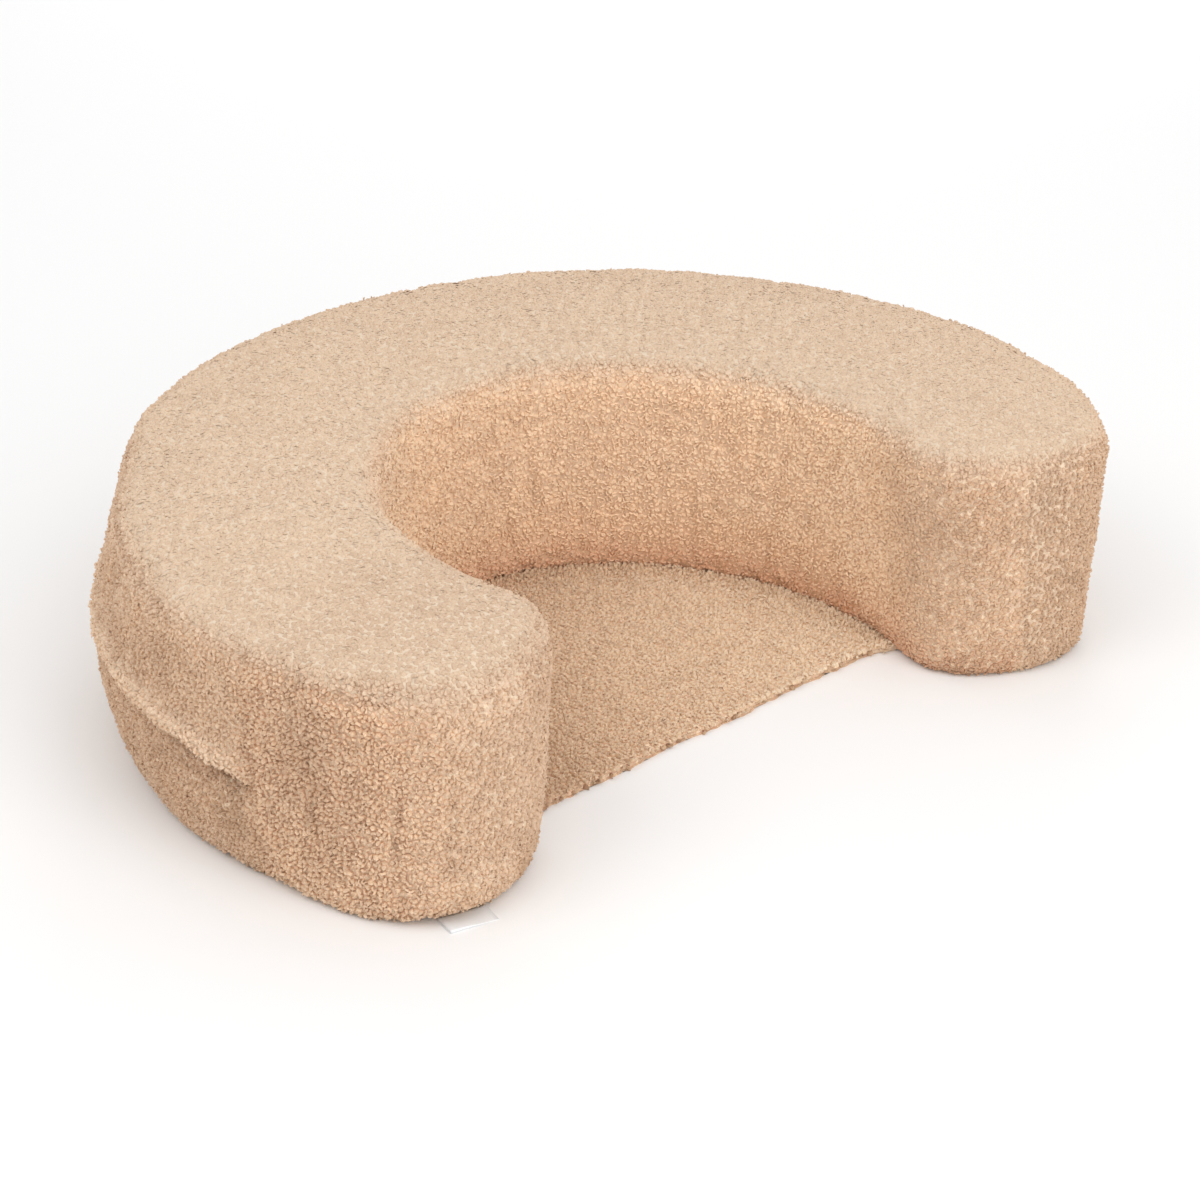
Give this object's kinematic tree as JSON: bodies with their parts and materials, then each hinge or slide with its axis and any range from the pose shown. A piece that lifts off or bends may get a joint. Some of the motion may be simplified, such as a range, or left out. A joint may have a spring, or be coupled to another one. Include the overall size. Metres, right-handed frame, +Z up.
{
  "type": "baby support ring pillow",
  "caption": "C-shaped filled ring in curly pile cloth that props up a seated baby, with a flat mat of the same cloth between its arms.",
  "frame": {"origin": "centre of the ring on the floor, on the underside of the mat where the baby sits", "axes": "+Z up, +X from the left arm to the right arm as seen from the open front, the arms open towards -Y"},
  "size_m": [0.6613, 0.4955, 0.165],
  "materials": {
    "pile_cloth": "curly short pile, matt",
    "white_tape": "smooth woven tape, slight sheen"
  },
  "bodies": {
    "root": {"ring_cushion": "pile_cloth", "seat_mat": "pile_cloth", "side_label": "white_tape"}
  },
  "joints": []
}
